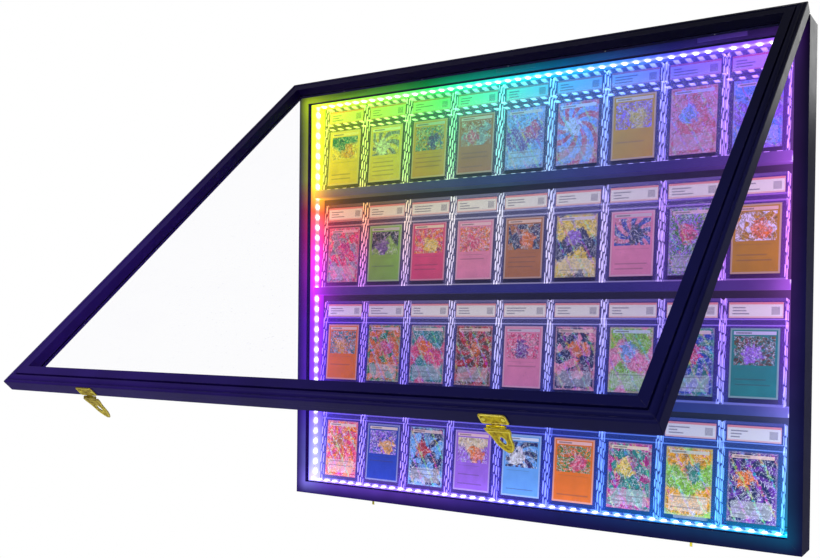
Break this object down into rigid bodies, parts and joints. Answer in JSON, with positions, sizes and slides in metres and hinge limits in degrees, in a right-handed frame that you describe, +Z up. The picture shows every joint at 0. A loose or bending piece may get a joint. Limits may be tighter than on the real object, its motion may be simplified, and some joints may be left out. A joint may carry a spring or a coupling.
{
  "type": "wall display case",
  "caption": "Black wall display case with lit walls, shelves of clear card slabs, and a moulded glazed door hinged along its top, held by two brass hasps.",
  "frame": {"origin": "the middle of the case's back face, on the wall", "axes": "+X to the right as seen from the front, +Y into the wall, +Z up; the front faces -Y"},
  "size_m": [0.816, 0.5114, 0.6683],
  "materials": {
    "black_wood": "satin black paint",
    "dark_panel": "matt black",
    "zinc_steel": "zinc plated",
    "black_enamel": "black enamel, rubbed at the edges",
    "white_tape": "matt",
    "lit_chips": "lit",
    "lead_cover": "smooth",
    "black_plastic": "smooth",
    "bumper_rubber": "matt",
    "clear_pane": "polished clear",
    "clear_shell": "polished clear",
    "card_print": "printed",
    "label_paper": "printed",
    "brass": "polished"
  },
  "bodies": {
    "case": {"case_top_board": "black_wood", "case_bottom_board": "black_wood", "case_left_board": "black_wood", "case_right_board": "black_wood", "back_panel": "dark_panel", "back_panel_screws": "zinc_steel", "shelf_1": "black_wood", "shelf_2": "black_wood", "shelf_3": "black_wood", "led_tape_top": "white_tape", "led_tape_bottom": "white_tape", "led_tape_left": "white_tape", "led_tape_right": "white_tape", "led_chips": "lit_chips", "led_corner_links": "white_tape", "led_controller": "white_tape", "led_leads": "lead_cover", "power_inlet": "black_plastic", "power_inlet_nut": "zinc_steel", "wall_hangers": "zinc_steel", "hanger_screws": "zinc_steel", "hinge_case_leaves": "black_enamel", "hinge_pins": "black_enamel", "hinge_case_screws": "black_enamel", "keeper_plates": "brass", "keeper_screws": "brass", "slab_fronts_row_1": "clear_shell", "slab_fronts_row_2": "clear_shell", "slab_fronts_row_3": "clear_shell", "slab_fronts_row_4": "clear_shell", "slab_backs_row_1": "clear_shell", "slab_backs_row_2": "clear_shell", "slab_backs_row_3": "clear_shell", "slab_backs_row_4": "clear_shell", "cards_row_1": "card_print", "cards_row_2": "card_print", "cards_row_3": "card_print", "cards_row_4": "card_print", "labels_row_1": "label_paper", "labels_row_2": "label_paper", "labels_row_3": "label_paper", "labels_row_4": "label_paper"},
    "door": {"hinge_door_leaves": "black_enamel", "hinge_door_screws": "black_enamel", "door_top_rail": "black_wood", "door_bottom_rail": "black_wood", "door_left_rail": "black_wood", "door_right_rail": "black_wood", "door_pane": "clear_pane", "pane_retainers": "black_wood", "retainer_brads": "zinc_steel", "door_bumpers": "bumper_rubber", "latch_plates": "brass", "latch_plate_screws": "brass", "latch_pins": "brass"},
    "tongue_left": {"latch_tongue_left": "brass"},
    "tongue_right": {"latch_tongue_right": "brass"}
  },
  "joints": [
    {"name": "door_hinge", "type": "hinge", "parent": "case", "child": "door", "pos_m": [0, -0.0416, 0.32598], "axis": [-1, 0, 0], "range_deg": [-45, 45]},
    {"name": "latch_left", "type": "hinge", "parent": "door", "child": "tongue_left", "pos_m": [-0.2625, -0.50186, -0.13555], "axis": [-1, 0, 0], "range_deg": [0, 150]},
    {"name": "latch_right", "type": "hinge", "parent": "door", "child": "tongue_right", "pos_m": [0.2625, -0.50186, -0.13555], "axis": [-1, 0, 0], "range_deg": [0, 150]}
  ]
}
